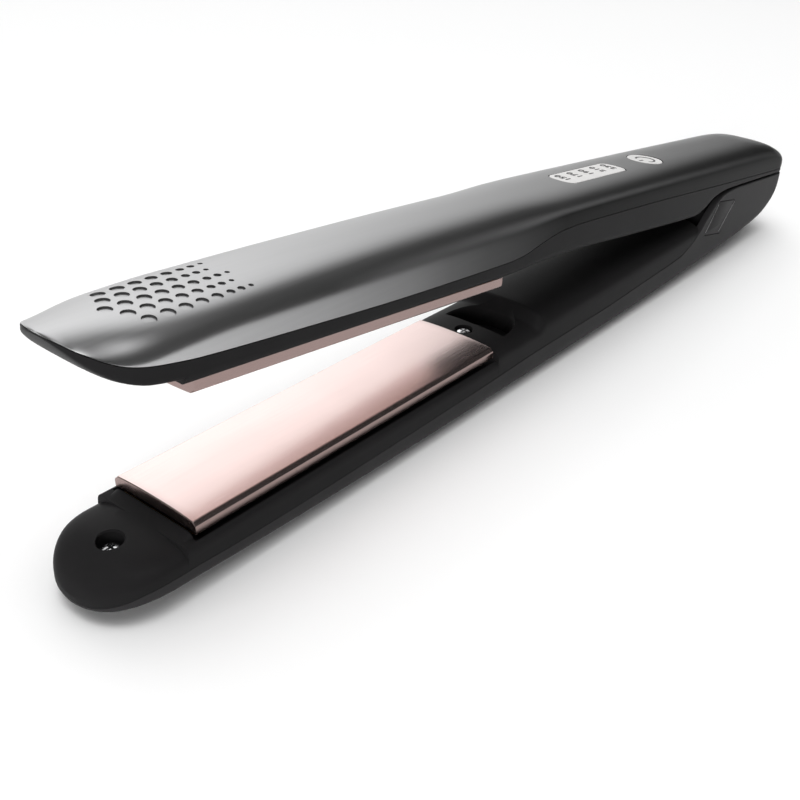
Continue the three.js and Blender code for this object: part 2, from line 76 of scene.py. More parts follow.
PLATE_FRONT = -227.3
PLATE_REAR = -126.4
PLATE_HALF = 12.5
PLATE_FOLD = 0.65
PLATE_FOLD_ANGLE = math.radians(66)
PLATE_OUT = 1.2
PLATE_BEND = 0.25
PLATE_CAMBER = 0.45
PLATE_FACE = 0.2
PLATE_DEPTH = 3.2
PLATE_SKIN = 1.2
TROUGH_HALF = 13.0
TROUGH_FLOOR = 6.7
POST_X = (-208.0, -146.0)

NOSE_SCREW_X = -238.6
BLOCK_TOP = -0.9
BLOCK_REAR = -118.0
BLOCK_SCREW_X = -122.4
ARCH_DEPTH = 11.9
ARCH_HALF = 9.6
CREST_HEIGHT = 6.6
SCREW_HEAD_HEIGHT = 1.05
LOWER_SIDE_HEIGHT = 7.5

BUTTON_X = -33.3
BUTTON_RADIUS = 5.55
DISPLAY_X = -68.3
DISPLAY_LENGTH = 33.1
DISPLAY_WIDTH = 8.8
TRIM_GAP = 0.2

CHEEK_INNER = 12.2
TONGUE_HALF = 11.0
INLET_Z = -3.0


# ---- curves ------------------------------------------------------------------------------
def smooth(points):
    """A cubic curve through the points, as a function of X, that doesn't overshoot between them."""
    xs = np.array([p[0] for p in points], float)
    zs = np.array([p[1] for p in points], float)
    slope = np.diff(zs) / np.diff(xs)
    before = np.concatenate(([slope[0]], slope))
    after = np.concatenate((slope, [slope[-1]]))
    product = before * after
    total = np.where(product > 0, before + after, 1.0)
    tangent = np.where(product > 0, 2 * product / total, 0.0)

    def at(x):
        x = float(np.clip(x, xs[0], xs[-1]))
        i = int(np.clip(np.searchsorted(xs, x) - 1, 0, len(xs) - 2))
        h = xs[i + 1] - xs[i]
        t = (x - xs[i]) / h
        ends = (1 + 2 * t) * (1 - t) ** 2 * zs[i] + t * t * (3 - 2 * t) * zs[i + 1]
        return ends + h * t * (1 - t) * ((1 - t) * tangent[i] - t * tangent[i + 1])

    return at


def ease(x, low, high):
    t = min(1.0, max(0.0, (x - low) / (high - low)))
    return t * t * (3 - 2 * t)


upper_crown = smooth([
    (-251.6, 14.84), (-246, 15.2), (-237, 15.7), (-220, 16.5), (-188, 18.05), (-147, 19.35),
    (-96, 20.2), (-33, 20.7), (10, 20.95), (32, 21.0), (43, 20.5), (50, 18.9), (54, 16.2),
    (56.3, 12.6),
])
upper_split = smooth([
    (-251.6, 14.6), (-250.5, 14.1), (-249.5, 13.4), (-248, 12.65), (-246, 11.7), (-244, 10.95),
    (-242, 10.45), (-239, 10.05), (-235, 9.7), (-228, 9.1), (-215, 8.7), (-200, 8.4),
    (-170, 8.0), (-128, 8.4), (-121, 9.0), (-112, 11.2), (-103, 12.8), (-92, 13.3),
    (-60, 13.2), (0, 12.3), (55, 11.7),
])
upper_nose_face = smooth([
    (-251.6, 14.25), (-250.5, 12.7), (-249, 10.9), (-247, 9.0), (-243, 6.6), (-238, 5.0), (-231, 4.3),
])
upper_rim = smooth([
    (-231, 4.1), (-170, 4.3), (-126, 4.5), (-110, 5.2), (-95, 5.4), (-60, 4.4), (-17, 3.4),
    (-12, 4.6), (-6, 7.4), (0, 9.0), (5, 9.6), (20, 9.9), (56, 10.3),
])
lower_seam = smooth([
    (-249, -13.2), (-247, -12.3), (-244, -11.0), (-240, -9.7), (-235, -9.2), (-230, -9.2),
    (-218, -9.6), (-200, -9.8), (-166, -9.5), (-130, -8.7), (-105, -8.0), (-74, -7.9),
    (-50, -7.1), (-24, -6.0), (-18, -4.4), (-12, -1.5),
    (-6, 3.4), (0, 7.2), (5, 8.3), (11, 8.3), (21.5, 7.35), (49, 4.4), (58, 3.5),
])
lower_bottom = smooth([
    (-249, -13.8), (-243, -13.9), (-232, -14.2), (-216, -14.8), (-191, -15.7), (-163, -16.5),
    (-150, -16.77), (-60, -16.77), (-44, -16.5), (-16, -15.7), (13, -14.5), (29, -13.5),
    (40, -12.2), (46, -10.2), (51, -6.8), (55, -2.0), (58, 2.9),
])
lower_nose_face = smooth([
    (-249, -12.2), (-247.2, -9.0), (-244.4, -6.5), (-241.5, -5.1), (-238.6, -4.5),
    (-235, -4.35), (-231, -4.35),
])
lower_rim = smooth([(-231, -4.3), (-126, -4.4), (-100, -4.8), (-10, -4.4)])


def half_width(x, ends):
    """Half width of an arm seen from above: a blunt round nose and a rounder-cornered tail."""
    tip, tail = ends
    nose = min(1.0, max(0.0, (NOSE_ROOT - x) / (NOSE_ROOT - tip)))
    back = min(1.0, max(0.0, (x - tail - 0.1 + TAIL_ROUND) / TAIL_ROUND))
    nose_share = (1 - nose ** NOSE_POWER) ** (1 / NOSE_POWER)
    return HALF_WIDTH * nose_share * (1 - back ** TAIL_POWER) ** (1 / TAIL_POWER)


def arch(half, base, height, count, wide=3.0, tall=4.0):
    """A superellipse from (-half, base) over the crown to (half, base), as [Y, Z] points."""
    points = []
    for k in range(count):
        a = math.pi * (k / (count - 1) - 0.5)
        y = half * math.copysign(abs(math.sin(a)) ** (2 / wide), a)
        points.append((y, base + height * max(0.0, math.cos(a)) ** (2 / tall)))
    return points


def stations(ends, step, extra=()):
    """X places along an arm: close together at both ends and at the extra places."""
    tip, tail = ends
    nose = [NOSE_ROOT - (NOSE_ROOT - tip) * math.sin(math.radians(d)) for d in range(88, 0, -4)]
    middle = list(np.arange(NOSE_ROOT, tail - TAIL_ROUND, step))
    back = [tail - TAIL_ROUND * (1 - math.sin(math.radians(d))) for d in range(0, 89, 6)]
    return sorted(set(round(x, 3) for x in [tip + 0.05, *nose, *middle, *back, *extra]))


# ---- meshes ------------------------------------------------------------------------------
def mesh_object(verts, faces, name="shape"):
    mesh = bpy.data.meshes.new(name)
    mesh.from_pydata([tuple(v) for v in verts], [], [tuple(f) for f in faces])
    mesh.validate()
    obj = bpy.data.objects.new(name, mesh)
    bpy.context.scene.collection.objects.link(obj)
    tidy_mesh(obj)
    return obj


def tidy_mesh(obj, merge=1e-5):
    form = bmesh.new()
    form.from_mesh(obj.data)
    bmesh.ops.remove_doubles(form, verts=form.verts, dist=merge)
    bmesh.ops.dissolve_degenerate(form, edges=form.edges, dist=merge)
    bmesh.ops.recalc_face_normals(form, faces=form.faces)
    form.to_mesh(obj.data)
    form.free()


def skin(rings, capped=True):
    """A closed surface through rings of [X, Y, Z] points of equal count."""
    count = len(rings[0])
    verts = [point for ring in rings for point in ring]
    faces = []
    for r in range(len(rings) - 1):
        for k in range(count):
            a, b = r * count + k, r * count + (k + 1) % count
            faces.append((a, b, b + count, a + count))
    if capped:
        faces.append(tuple(range(count)))
        faces.append(tuple(range((len(rings) - 1) * count, len(rings) * count)))
    return mesh_object(verts, faces)


def loft(xs, ring_at):
    return skin([[(x, y, z) for y, z in ring_at(x)] for x in xs])


def turned(profile, centre, axis, sides=48):
    """A solid of revolution. profile is [radius, height] points up the axis, from axis to axis."""
    rings = []
    for radius, height in profile:
        ring = []
        for k in range(sides):
            a = 2 * math.pi * k / sides
            spot = (max(radius, 1e-4) * math.cos(a), max(radius, 1e-4) * math.sin(a), height)
            ring.append(spot)
        rings.append(ring)
    obj = skin(rings)
    turn = {"X": Matrix.Rotation(math.pi / 2, 4, "Y"), "Y": Matrix.Rotation(-math.pi / 2, 4, "X"),
            "Z": Matrix.Identity(4), "-Z": Matrix.Rotation(math.pi, 4, "X")}[axis]
    obj.data.transform(Matrix.Translation(centre) @ turn)
    tidy_mesh(obj)
    return obj


def rod(radius, centre, axis, length, sides=48):
    return turned([(0, 0), (radius, 0), (radius, length), (0, length)], centre, axis, sides)


def block(x0, x1, half, z0, z1):
    low, high = min(z0, z1), max(z0, z1)
    ring = [(-half, low), (half, low), (half, high), (-half, high)]
    return loft([x0, x1], lambda x: ring)


def prism_y(outline, y0, y1):
    """An [X, Z] outline drawn out along Y."""
    return skin([[(x, y0, z) for x, z in outline], [(x, y1, z) for x, z in outline]])


def combine(base, others, operation):
    for other in others:
        step = base.modifiers.new("combine", "BOOLEAN")
        step.object = other
        step.operation = operation
        step.solver = "EXACT"
        graph = bpy.context.evaluated_depsgraph_get()
        done = bpy.data.meshes.new_from_object(base.evaluated_get(graph))
        base.modifiers.clear()
        base.data = done
        bpy.data.objects.remove(other)
    return base


def carve(base, *others):
    return combine(base, others, "DIFFERENCE")


def fuse(base, *others):
    return combine(base, others, "UNION")


def gather(objects):
    """Several solids as one mesh object."""
    form = bmesh.new()
    for obj in objects:
        form.from_mesh(obj.data)
        bpy.data.objects.remove(obj)
    mesh = bpy.data.meshes.new("shape")
    form.to_mesh(mesh)
    form.free()
    whole = bpy.data.objects.new("shape", mesh)
    bpy.context.scene.collection.objects.link(whole)
    return whole


def place(obj, name, arm, body, material, stands_for=(), sharp=32.0):
    """Carries a finished shape from millimetres to its place, and says what it is."""
    obj.name = name
    obj.data.name = name
    obj.data.transform(arm)
    obj.data.shade_smooth()
    obj.data.set_sharp_from_angle(angle=math.radians(sharp))
    obj.data.materials.clear()
    for one in material if isinstance(material, (list, tuple)) else [material]:
        obj.data.materials.append(one)
    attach(obj, body)
    if stands_for:
        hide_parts(*stands_for)
    return obj


# ---- materials ---------------------------------------------------------------------------
def new_material(name):
    material = bpy.data.materials.new(name)
    material.use_nodes = True
    nodes = material.node_tree.nodes
    return material, material.node_tree, nodes["Principled BSDF"]


def noise(tree, scale, detail=4.0, stretch=(1, 1, 1)):
    """Noise in object space. scale is in repeats to the metre."""
    place_node = tree.nodes.new("ShaderNodeTexCoord")
    mapping = tree.nodes.new("ShaderNodeMapping")
    mapping.inputs["Scale"].default_value = stretch
    texture = tree.nodes.new("ShaderNodeTexNoise")
    texture.inputs["Scale"].default_value = scale
    texture.inputs["Detail"].default_value = detail
    tree.links.new(place_node.outputs["Object"], mapping.inputs["Vector"])
    tree.links.new(mapping.outputs["Vector"], texture.inputs["Vector"])
    return texture.outputs["Fac"]


def spread(tree, value, low, high, centre=0.5, width=0.25):
    """Maps a noise value to the range low..high."""
    ramp = tree.nodes.new("ShaderNodeMapRange")
    ramp.inputs["From Min"].default_value = centre - width
    ramp.inputs["From Max"].default_value = centre + width
    ramp.inputs["To Min"].default_value = low
    ramp.inputs["To Max"].default_value = high
    tree.links.new(value, ramp.inputs["Value"])
    return ramp.outputs["Result"]


def mix_colours(tree, factor, first, second):
    mixer = tree.nodes.new("ShaderNodeMix")
    mixer.data_type = "RGBA"
    for socket, colour in ((mixer.inputs[6], first), (mixer.inputs[7], second)):
        if isinstance(colour, tuple):
            socket.default_value = (*colour, 1.0)
        else:
            tree.links.new(colour, socket)
    tree.links.new(factor, mixer.inputs[0])
    return mixer.outputs[2]


def add_bump(tree, shader, height, distance, strength=0.5):
    bump = tree.nodes.new("ShaderNodeBump")
    bump.inputs["Distance"].default_value = distance
    bump.inputs["Strength"].default_value = strength
    tree.links.new(height, bump.inputs["Height"])
    tree.links.new(bump.outputs["Normal"], shader.inputs["Normal"])


def plastic(name, dark, light, roughness, grain=3500.0, relief=0.00002, shine=0.5):
    """Moulded plastic: a fine spark-eroded grain, faint cloudy colour and uneven sheen."""
    material, tree, shader = new_material(name)
    shader.inputs["Specular IOR Level"].default_value = shine
    clouds = spread(tree, noise(tree, 60.0, 3.0), 0.0, 1.0)
    tree.links.new(mix_colours(tree, clouds, dark, light), shader.inputs["Base Color"])
    fine = noise(tree, grain, 3.0)
    tree.links.new(spread(tree, fine, roughness - 0.05, roughness + 0.06), shader.inputs["Roughness"])
    add_bump(tree, shader, fine, relief, 0.35)
    return material


def metal(name, dark, light, roughness, brushed=(1, 1, 1), scale=900.0, relief=0.000006):
    """Metal with polishing marks, drawn out along one axis where brushed says so."""
    material, tree, shader = new_material(name)
    shader.inputs["Metallic"].default_value = 1.0
    marks = noise(tree, scale, 5.0, brushed)
    tree.links.new(mix_colours(tree, marks, dark, light), shader.inputs["Base Color"])
    tree.links.new(spread(tree, marks, roughness - 0.06, roughness + 0.08), shader.inputs["Roughness"])
    add_bump(tree, shader, marks, relief, 0.4)
    return material


def fade(tree, along, stops):
    """A grey that changes along the arm. Each stop is (hinge-frame X in mm, grey)."""
    first, last = stops[0][0], stops[-1][0]
    span = tree.nodes.new("ShaderNodeMapRange")
    span.inputs["From Min"].default_value = PIVOT_IN_ROW.x + (first - PIVOT.x) / 1000
    span.inputs["From Max"].default_value = PIVOT_IN_ROW.x + (last - PIVOT.x) / 1000
    tree.links.new(along, span.inputs["Value"])
    ramp = tree.nodes.new("ShaderNodeValToRGB")
    points = ramp.color_ramp.elements
    while len(points) < len(stops):
        points.new(0.5)
    for point, (x, grey) in zip(points, stops):
        point.position = (x - first) / (last - first)
        point.color = (grey, grey, 1.01 * grey, 1.0)
    tree.links.new(span.outputs["Result"], ramp.inputs["Fac"])
    return ramp.outputs["Color"]


def cover_finish():
    """Brushed metallic lacquer, silver at the tip and darkening to gunmetal at the tail; this fade is partly
    the paint's own and partly painted shade. Its upright sides are painted darker and duller sooner than its
    top, which is painted shade."""
    material, tree, shader = new_material("graphite_cover_paint_and_painted_shade")
    shader.inputs["Specular IOR Level"].default_value = 0.02
    where = tree.nodes.new("ShaderNodeTexCoord")
    split = tree.nodes.new("ShaderNodeSeparateXYZ")
    facing = tree.nodes.new("ShaderNodeSeparateXYZ")
    tree.links.new(where.outputs["Object"], split.inputs["Vector"])
    tree.links.new(where.outputs["Normal"], facing.inputs["Vector"])
    upright = tree.nodes.new("ShaderNodeMapRange")
    upright.interpolation_type = "SMOOTHSTEP"
    upright.inputs["From Min"].default_value = 0.3
    upright.inputs["From Max"].default_value = 0.85
    tree.links.new(facing.outputs["Z"], upright.inputs["Value"])
    # painted shade: the side greys darken the upright sides towards the tail; the top greys' fade is partly
    # the paint's own and partly painted shade
    side_shade_grey = fade(tree, split.outputs["X"], SIDE_SHADE_GREYS)
    top_fade_and_shade_grey = fade(tree, split.outputs["X"], TOP_FADE_AND_SHADE_GREYS)
    greys_with_painted_shade = mix_colours(tree, upright.outputs["Result"], side_shade_grey, top_fade_and_shade_grey)
    # painted shade: the upright sides turn from metallic to dull towards the tail, which darkens them
    side_dulling_shade = fade(tree, split.outputs["X"], ((-190, 0.92), (-110, 0.05), (45, 0.05)))
    metallic = mix_colours(tree, upright.outputs["Result"], side_dulling_shade, (0.95, 0.95, 0.95))
    tree.links.new(metallic, shader.inputs["Metallic"])
    marks = noise(tree, 900.0, 2.0, (0.02, 1, 1))
    shade = tree.nodes.new("ShaderNodeHueSaturation")
    tree.links.new(greys_with_painted_shade, shade.inputs["Color"])
    tree.links.new(spread(tree, marks, 0.96, 1.04, 0.5, 0.35), shade.inputs["Value"])
    tree.links.new(shade.outputs["Color"], shader.inputs["Base Color"])
    tree.links.new(spread(tree, marks, 0.28, 0.32, 0.5, 0.35), shader.inputs["Roughness"])
    return material


def plate_finish():
    """Rose-tinted titanium and ceramic coating, polished along the plate. Its upright edges get a darker
    brown, which is painted shade.
    """
    material, tree, shader = new_material("rose_plate_with_painted_side_shade")
    shader.inputs["Metallic"].default_value = 1.0
    clouds = spread(tree, noise(tree, 45.0, 3.0), 0.0, 1.0)
    tint = mix_colours(tree, clouds, (0.72, 0.575, 0.55), (0.76, 0.61, 0.585))
    where = tree.nodes.new("ShaderNodeTexCoord")
    facing = tree.nodes.new("ShaderNodeSeparateXYZ")
    upright = tree.nodes.new("ShaderNodeMath")
    upright.operation = "ABSOLUTE"
    tree.links.new(where.outputs["Normal"], facing.inputs["Vector"])
    tree.links.new(facing.outputs["Z"], upright.inputs[0])
    flat = spread(tree, upright.outputs[0], 0.0, 1.0, 0.5, 0.3)
    # painted shade: the plate's upright edges get a darker brown than its face
    both = mix_colours(tree, flat, (0.32, 0.235, 0.22), tint)
    tree.links.new(both, shader.inputs["Base Color"])
    marks = noise(tree, 2200.0, 4.0, (0.02, 1, 1))
    tree.links.new(spread(tree, marks, 0.22, 0.28), shader.inputs["Roughness"])
    add_bump(tree, shader, marks, 0.000002, 0.2)
    return material


def board_finish():
    """Green solder mask with copper tracks under it."""
    material, tree, shader = new_material("board_finish")
    where = tree.nodes.new("ShaderNodeTexCoord")
    tracks = tree.nodes.new("ShaderNodeTexBrick")
    tracks.inputs["Scale"].default_value = 320.0
    tracks.inputs["Color1"].default_value = (0.02, 0.10, 0.05, 1)
    tracks.inputs["Color2"].default_value = (0.025, 0.13, 0.06, 1)
    tracks.inputs["Mortar"].default_value = (0.08, 0.22, 0.10, 1)
    tree.links.new(where.outputs["Object"], tracks.inputs["Vector"])
    tree.links.new(tracks.outputs["Color"], shader.inputs["Base Color"])
    tree.links.new(spread(tree, noise(tree, 900.0), 0.3, 0.45), shader.inputs["Roughness"])
    return material


# Painted shade: the side greys darken the cover's upright sides towards the tail; the top greys' fade is
# partly the paint's own fade and partly painted shade.
TOP_FADE_AND_SHADE_GREYS = (
    (-245, 0.44), (-180, 0.38), (-120, 0.31), (-60, 0.25), (-20, 0.19), (20, 0.15), (45, 0.12),
)
SIDE_SHADE_GREYS = (
    (-235, 0.47), (-210, 0.36), (-195, 0.30), (-180, 0.235), (-165, 0.18), (-150, 0.105),
    (-135, 0.065), (-120, 0.045), (-100, 0.015), (45, 0.012),
)
COVER = cover_finish()
DARK_COVER = plastic("dark_cover_finish", (0.028, 0.027, 0.028), (0.035, 0.034, 0.035), 0.50, shine=0.08)
BLACK = plastic("black_shell_finish", (0.0150, 0.0146, 0.0152), (0.0185, 0.0180, 0.0186), 0.42, shine=0.04)
ROSE = plate_finish()
SILVER = plastic("silver_trim_finish", (0.66, 0.65, 0.64), (0.72, 0.71, 0.70), 0.38, 2500.0, 0.00001)
PRINT = plastic("print_finish", (0.030, 0.028, 0.030), (0.045, 0.042, 0.044), 0.5)
STEEL = metal("steel_finish", (0.62, 0.62, 0.63), (0.82, 0.82, 0.83), 0.2)
SPRING_STEEL = metal("spring_steel_finish", (0.40, 0.40, 0.42), (0.60, 0.60, 0.62), 0.3)
# painted highlight: a light metal for the strips along the hinge caps' slanted edges
PAINTED_EDGE_HIGHLIGHT = metal("cap_edge_painted_highlight", (0.34, 0.34, 0.345), (0.46, 0.46, 0.465), 0.32)
CERAMIC = plastic("heater_ceramic_finish", (0.72, 0.69, 0.62), (0.80, 0.77, 0.70), 0.75, 1800.0)
RESIN = plastic("carrier_resin_finish", (0.20, 0.085, 0.022), (0.28, 0.12, 0.035), 0.55)
SILICONE = plastic("silicone_finish", (0.42, 0.05, 0.035), (0.52, 0.07, 0.05), 0.7, 1500.0)
NYLON = plastic("nylon_finish", (0.68, 0.66, 0.60), (0.76, 0.74, 0.69), 0.55)
BOARD = board_finish()


# ---- upper arm ---------------------------------------------------------------------------
def cover_shape(x):
    """How square the cover's section is at X: a low dome at the nose, upright sides behind it."""
    t = ease(x, -253.0, -216.0)
    return 2.0 + t, 1.05 + 2.95 * t


def crown_height(x, y):
    """Height of the upper cover's outer surface."""
    wide, tall = cover_shape(x)
    base = upper_split(x)
    share = max(0.0, 1 - (abs(y) / half_width(x, UPPER_ENDS)) ** wide)
    return base + (upper_crown(x) - base) * share ** (1 / tall)


def cover_ring(x, inset, drop, count):
    wide, tall = cover_shape(x)
    base = upper_split(x)
    half = max(0.02, half_width(x, UPPER_ENDS) - inset)
    height = max(0.02, upper_crown(x) - inset - base)
    ring = arch(half, base, height, count, wide, tall)
    if drop:
        return [(-half, base - drop), *ring, (half, base - drop)]
    return [(-half + min(LIP, half / 3), base - 0.06), *ring, (half - min(LIP, half / 3), base - 0.06)]


def cover_wall(x):
    return VENT_WALL + (COVER_WALL - VENT_WALL) * ease(x, -204.0, -190.0)


def pill(grow, steps=10):
    """The display window's outline: straight sides and bulged ends."""
    half = DISPLAY_WIDTH / 2 + grow
    bulge = 2.2
    straight = DISPLAY_LENGTH / 2 - bulge + grow
    points = []
    for side in (1, -1):
        for k in range(steps + 1):
            y = -side * half * (1 - 2 * k / steps)
            points.append((DISPLAY_X + side * (straight + bulge * math.sqrt(1 - (y / half) ** 2)), y))
    return points


def circle(x, radius, sides=64):
    turns = [2 * math.pi * k / sides for k in range(sides)]
    return [(x + radius * math.cos(a), radius * math.sin(a)) for a in turns]


def tablet(outline, top_at, bottom_at, edge=0.22, rings=10):
    """A low solid over an outline, its top on a given surface and its rim rounded."""
    middle = np.mean(np.array(outline), axis=0)
    reach = np.max(np.linalg.norm(np.array(outline) - middle, axis=1))
    levels = [(0.0, None), (1.0, None)]
    for k in range(5):
        a = math.pi / 2 * k / 4
        levels.append((1 - edge / reach * (1 - math.cos(a)), edge * (1 - math.sin(a))))
    inner = 1 - edge / reach
    levels += [(inner * (1 - k / rings), 0.0) for k in range(1, rings)]
    levels += [(0.0, 0.0)]
    loops = []
    for share, sink in levels:
        ring = [tuple(middle + max(share, 1e-4) * (np.array(p) - middle)) for p in outline]
        height = bottom_at if sink is None else (lambda x, y, s=sink: top_at(x, y) - s)
        loops.append([(x, y, height(x, y)) for x, y in ring])
    return skin(loops)


def vent_holes():
    """The vent's five rows, a chevron that points to the tip: [X, Y, diameter]."""
    gaps = (4.4, 4.3, 4.1, 3.9, 3.7, 3.35, 2.7, 2.5)
    sizes = (2.9, 2.9, 2.9, 2.7, 2.5, 2.3, 1.75, 1.6, 1.1)
    row_pitch = 3.62
    starts = {0: -237.4, 1: -235.2, 2: -233.5}
    found = []
    for row in range(-2, 3):
        first = min(1, abs(row))
        x = starts[abs(row)]
        for gap, size in zip((0, *gaps[first:]), sizes[first:]):
            x += gap
            found.append((x, row * row_pitch, size))
    return found


def build_upper_cover():
    xs = stations(UPPER_ENDS, 2.5, (-121, -117, -113, -109, -106, -103))
    shell = loft(xs, lambda x: cover_ring(x, 0.0, 0.0, 61))
    inner = [x for x in stations((-248.5, 52.0), 4.0) if -247.5 < x < 51.5]
    hollow = loft(inner, lambda x: cover_ring(x, cover_wall(x), 1.5, 31))
    window = skin([[(x, y, z) for x, y in pill(TRIM_GAP)] for z in (15.0, 25.0)])
    button = rod(BUTTON_RADIUS + TRIM_GAP, (BUTTON_X, 0, 15), "Z", 10, 64)
    vents = gather([rod(d / 2, (x, y, 12), "Z", 8, 28) for x, y, d in vent_holes()])
    return carve(shell, hollow, window, button, vents)


def build_vent_floor():
    """The plate just under the vent holes, which follows the cover."""
    outline = []
    for k in range(72):
        a = 2 * math.pi * k / 72
        x = math.copysign(abs(math.cos(a)) ** 0.6, math.cos(a))
        y = math.copysign(abs(math.sin(a)) ** 0.6, math.sin(a))
        outline.append((-223.0 + 17.5 * x, 9.4 * y))
    return tablet(
        outline,
        lambda x, y: crown_height(x, y) - VENT_WALL - 0.04,
        lambda x, y: crown_height(x, y) - VENT_WALL - 0.9,
        0.1,
    )


def build_display_window():
    return tablet(pill(0.0), lambda x, y: crown_height(x, y) + 0.02, lambda x, y: 18.0, 0.2)


def build_display_numbers():
    """Five temperatures that read across the arm, seen from the handle."""
    numbers = ("150", "170", "190", "210", "230")
    pitch, middle_y, height = 6.45, 0.75, 2.35
    made = []
    for k, number in enumerate(numbers):
        text = bpy.data.curves.new("number", "FONT")
        text.body = number
        text.size = height / 0.72
        text.extrude = 0.03
        text.resolution_u = 4
        text.align_x = "CENTER"
        text.align_y = "CENTER"
        text.offset = 0.06
        text.space_character = 1.06
        holder = bpy.data.objects.new("number", text)
        bpy.context.scene.collection.objects.link(holder)
        graph = bpy.context.evaluated_depsgraph_get()
        mesh = bpy.data.meshes.new_from_object(holder.evaluated_get(graph))
        bpy.data.objects.remove(holder)
        x = DISPLAY_X + (k - 2) * pitch
        turn = Matrix(((0, -1, 0, x), (1, 0, 0, middle_y), (0, 0, 1, crown_height(x, middle_y) + 0.05),
                       (0, 0, 0, 1)))
        mesh.transform(turn)
        number_object = bpy.data.objects.new("number", mesh)
        bpy.context.scene.collection.objects.link(number_object)
        made.append(number_object)
    return gather(made)


def button_top(x, y):
    """The button's face: a shallow dish that stands 0.1 mm over the cover at its rim."""
    share = math.hypot(x - BUTTON_X, y) / BUTTON_RADIUS
    return crown_height(BUTTON_X, 0) - 0.25 * (1 - min(1.0, share) ** 2)


def build_button():
    cap = tablet(circle(BUTTON_X, BUTTON_RADIUS), button_top, lambda x, y: 18.2, 0.35)
    stem = rod(1.6, (BUTTON_X, 0, 16.9), "Z", 1.6)
    return fuse(cap, stem)


def build_power_mark():
    """A ring open towards the tip with a bar in its gap."""
    radius, stroke, lift = 2.9, 0.3, 0.035
    start = math.radians(180 + 50)
    sweep = math.radians(360 - 100)
    loops = []
    for k in range(49):
        a = start + sweep * k / 48
        section = []
        for r, z in ((-1, 0), (1, 0), (1, 1), (-1, 1)):
            x = BUTTON_X + 0.3 + (radius + r * stroke) * math.cos(a)
            y = (radius + r * stroke) * math.sin(a)
            section.append((x, y, button_top(x, y) - 0.02 + z * (lift + 0.02)))
        loops.append(section)
    ring = skin(loops)
    bar_loops = []
    for x in np.linspace(BUTTON_X - 3.6, BUTTON_X - 1.2, 7):
        low, high = button_top(x, 0) - 0.02, button_top(x, 0) + lift
        bar_loops.append([(x, -stroke, low), (x, stroke, low), (x, stroke, high), (x, -stroke, high)])
    return gather([ring, skin(bar_loops)])


def shell_ring(half, joint, rim, count=40):
    """A shell's section: upright sides, soft rims and a flat face."""
    side = math.copysign(1.0, joint - rim)
    across = min(1.15, half / 3)
    along = min(2.1, abs(joint - rim) / 2.2)
    corner = [math.pi / 2 * k / 7 for k in range(8)]
    left = [(-half + across * (1 - math.cos(a)), rim + side * along * (1 - math.sin(a))) for a in corner]
    flat = count - 2 * len(left)
    face = [((half - across) * (2 * (k + 1) / (flat + 1) - 1), rim) for k in range(flat)]
    right = [(-y, z) for y, z in reversed(left)]
    return [(-half, joint), *left, *face, *right, (half, joint)]


def nose_ring(half, joint, face, upright, wide=3.0, tall=4.0, count=40):
    """upright is the share of the nose's depth that stays straight before it rounds over."""
    base = joint + upright * (face - joint)
    return [(-half, joint), *arch(half, base, face - base, count, wide, tall), (half, joint)]


def counterbore(x, sign, mouth, seat, radius):
    """A screw's hole with a small chamfer at its mouth; the sign says which way it is entered."""
    reach = abs(seat - mouth)
    profile = [(0, -4), (radius + 0.25, -4), (radius + 0.25, 0), (radius, 0.3), (radius, reach),
               (1.4, reach), (1.4, 16), (0, 16)]
    axis = "Z" if sign > 0 else "-Z"
    return turned(profile, (x, 0, sign * mouth), axis, 40)


def trough(sign):
    return block(PLATE_FRONT - 0.5, PLATE_REAR + 0.35, TROUGH_HALF, sign * -5, sign * TROUGH_FLOOR)


def ramp(sign):
    """The slope in front of a plate, down to the nose, with rounded ends."""
    back, foot, half, round_end = PLATE_FRONT - 0.35, -230.9, 12.1, 2.4
    top, low, sunk = 3.2, 4.6, 6.2
    loops = []
    for k in range(25):
        y = -half * math.cos(math.pi * k / 24)
        inside = min(1.0, (half - abs(y)) / round_end)
        share = math.sqrt(max(0.0, 1 - (1 - inside) ** 2))
        high = low + (top - low) * share
        toe = back + (foot - back) * (0.35 + 0.65 * share)
        outline = [
            (back, high), (back + 0.12 * (toe - back), high),
            (back + 0.8 * (toe - back), low - 0.25 * share), (toe, low), (toe, sunk), (back, sunk),
        ]
        loops.append([(x, y, sign * z) for x, z in outline])
    return skin(loops)


def build_upper_shell():
    breaks = (-230.9, -230.75, -19, -17, -15, -13.5, -12, -10.5, -9, -7.5, -6, -4.5, -3, -1.5, 0, 2.5, 5)
    xs = stations(UPPER_ENDS, 3.0, breaks)

    def ring_at(x):
        half = half_width(x, UPPER_ENDS)
        joint = upper_split(x) - SEAM_GAP - 0.06
        if x < -230.8:
            return nose_ring(half, joint, upper_nose_face(x), 0.45)
        return shell_ring(half, joint, upper_rim(x))

    body = loft(xs, ring_at)
    cavity = loft([-110, -104, -98, -92, -76, -60, -38, -17, -10], lambda x: [
        (-12.5, 22), (-12.5, upper_rim(x) + 2), (12.5, upper_rim(x) + 2), (12.5, 22)])
    body = carve(body, trough(1), cavity)
    barrel = rod(6.0, (PIVOT.x, -TONGUE_HALF, PIVOT.z), "Y", 2 * TONGUE_HALF, 64)
    neck = block(PIVOT.x - 6, PIVOT.x + 6, TONGUE_HALF, PIVOT.z, 10.6)
    body = fuse(body, ramp(1), barrel, neck)
    return carve(
        body,
        rod(2.3, (PIVOT.x, -20, PIVOT.z), "Y", 40),
        block(PIVOT.x - 8, PIVOT.x + 8, 4.2, -8, 7.2),
        *[rod(2.5, (x, 0, 5), "Z", 7) for x in POST_X],
        counterbore(NOSE_SCREW_X, 1, upper_nose_face(NOSE_SCREW_X), 7.8, 2.85),
        counterbore(BLOCK_SCREW_X, 1, upper_rim(BLOCK_SCREW_X), 6.9, 2.3),
    )


